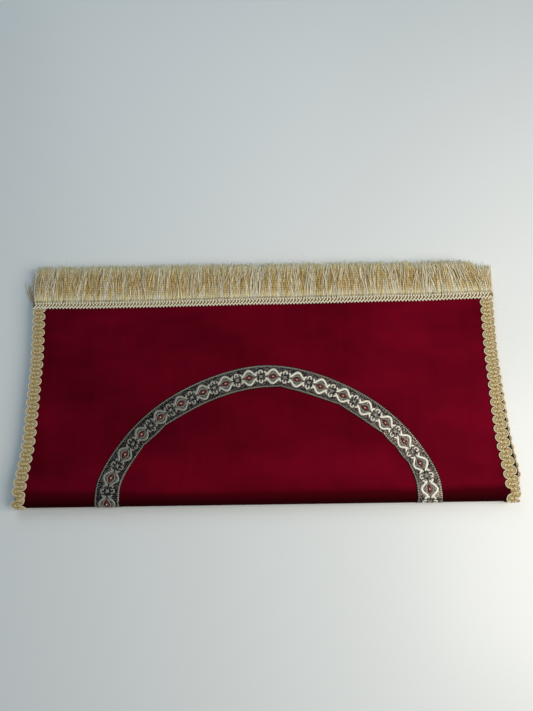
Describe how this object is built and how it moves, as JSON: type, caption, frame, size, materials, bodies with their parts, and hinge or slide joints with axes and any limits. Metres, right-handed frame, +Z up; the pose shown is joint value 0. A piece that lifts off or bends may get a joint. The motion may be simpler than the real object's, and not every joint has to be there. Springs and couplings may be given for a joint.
{
  "type": "folded velvet prayer mat",
  "caption": "Padded velvet mat with an arch of woven ribbon, scroll-braided sides and fringed ends, folded in half twice.",
  "frame": {"origin": "centre of the folded mat's footprint, on the surface it lies on", "axes": "+X across the mat, along the front fold; +Y from the front fold to the fringed ends; +Z up"},
  "size_m": [0.6, 0.3106, 0.0204],
  "materials": {
    "velvet": "cut-pile velvet, burgundy",
    "wadding": "needled felt",
    "lining": "plain black satin lining",
    "braid": "scroll braid of cream rayon cord",
    "braid_core": "braided metallic gold thread",
    "ribbon": "jacquard ribbon with metallic weft",
    "thread": "polyester sewing thread",
    "header": "woven fringe header",
    "fringe": "lustrous rayon fringe, gold and cream"
  },
  "bodies": {
    "lower_half": {"velvet_lower": "velvet", "velvet_fold": "velvet", "wadding_lower": "wadding", "wadding_fold": "wadding", "lining_lower": "lining", "lining_fold": "lining", "braid_left_lower": "braid", "braid_left_fold": "braid", "braid_right_lower": "braid", "braid_right_fold": "braid", "braid_core_left_lower": "braid_core", "braid_core_left_fold": "braid_core", "braid_core_right_lower": "braid_core", "braid_core_right_fold": "braid_core", "ribbon_legs_lower": "ribbon", "ribbon_fold": "ribbon", "ribbon_stitching_lower": "thread"},
    "upper_half": {"velvet_upper": "velvet", "wadding_upper": "wadding", "lining_upper": "lining", "braid_left_upper": "braid", "braid_right_upper": "braid", "braid_core_left_upper": "braid_core", "braid_core_right_upper": "braid_core", "ribbon_arch": "ribbon", "ribbon_legs_upper": "ribbon", "ribbon_stitching_upper": "thread", "head_fringe_header": "header", "head_fringe_skirt": "fringe", "head_fringe_stitching": "thread", "foot_fringe_header": "header", "foot_fringe_skirt": "fringe", "foot_fringe_stitching": "thread"}
  },
  "joints": [
    {"name": "front_fold_open", "type": "hinge", "parent": "lower_half", "child": "upper_half", "pos_m": [0, -0.15325, 0.0102], "axis": [1, 0, 0], "range_deg": [0, 180], "deforming": ["velvet_fold", "wadding_fold", "lining_fold", "braid_left_fold", "braid_right_fold", "braid_core_left_fold", "braid_core_right_fold", "ribbon_fold"]}
  ]
}
